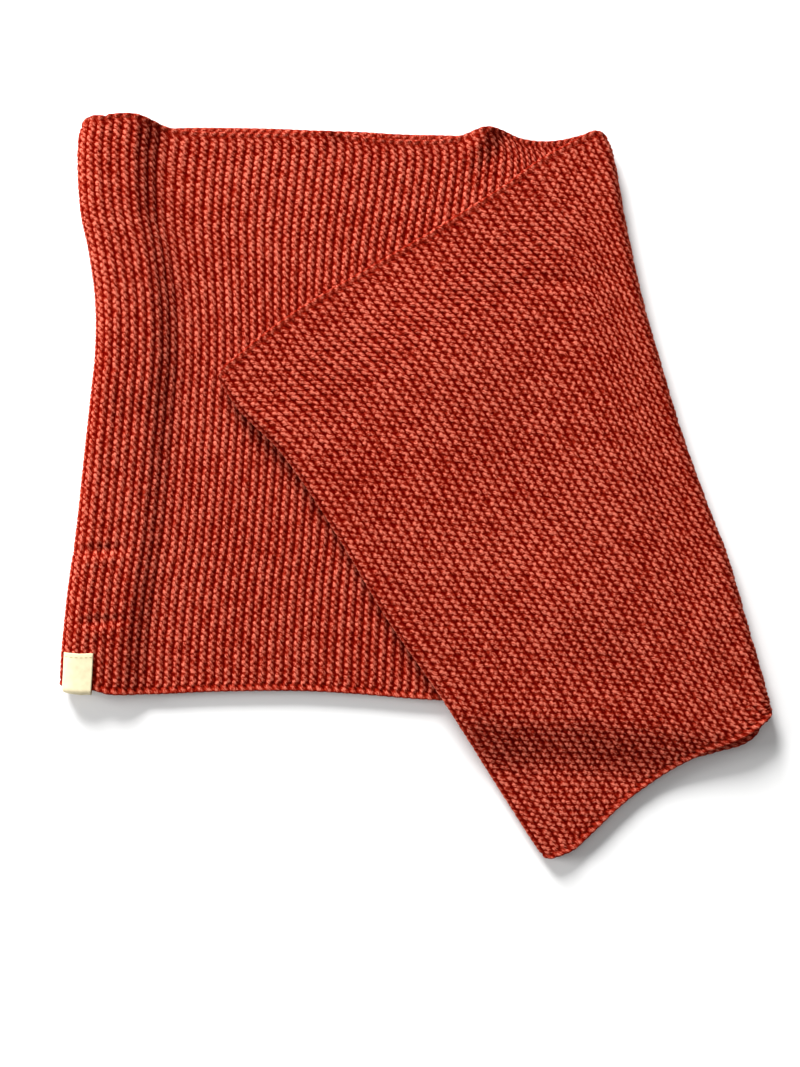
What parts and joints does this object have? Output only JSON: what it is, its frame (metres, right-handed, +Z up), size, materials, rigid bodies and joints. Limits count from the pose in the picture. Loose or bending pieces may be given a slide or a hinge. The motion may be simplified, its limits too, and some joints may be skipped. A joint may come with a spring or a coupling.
{
  "type": "infinity scarf",
  "caption": "Garter-stitch infinity scarf laid flat as a wide band, with one end turned over on the diagonal and a small tape sewn over its lower edge.",
  "frame": {"origin": "under the middle of the box round the scarf, on the surface it lies on", "axes": "+X along the lower stretch from its left end, +Y across it towards its upper long edge, +Z up"},
  "size_m": [0.4326, 0.4514, 0.0195],
  "materials": {
    "knit": "rust red cotton yarn in garter stitch, matt",
    "tape": "cream woven cotton tape, matt"
  },
  "bodies": {
    "root": {"lower_back": "knit", "lower_front": "knit", "turned_inside": "knit", "turned_outside": "knit", "edge_tab": "tape"}
  },
  "joints": []
}
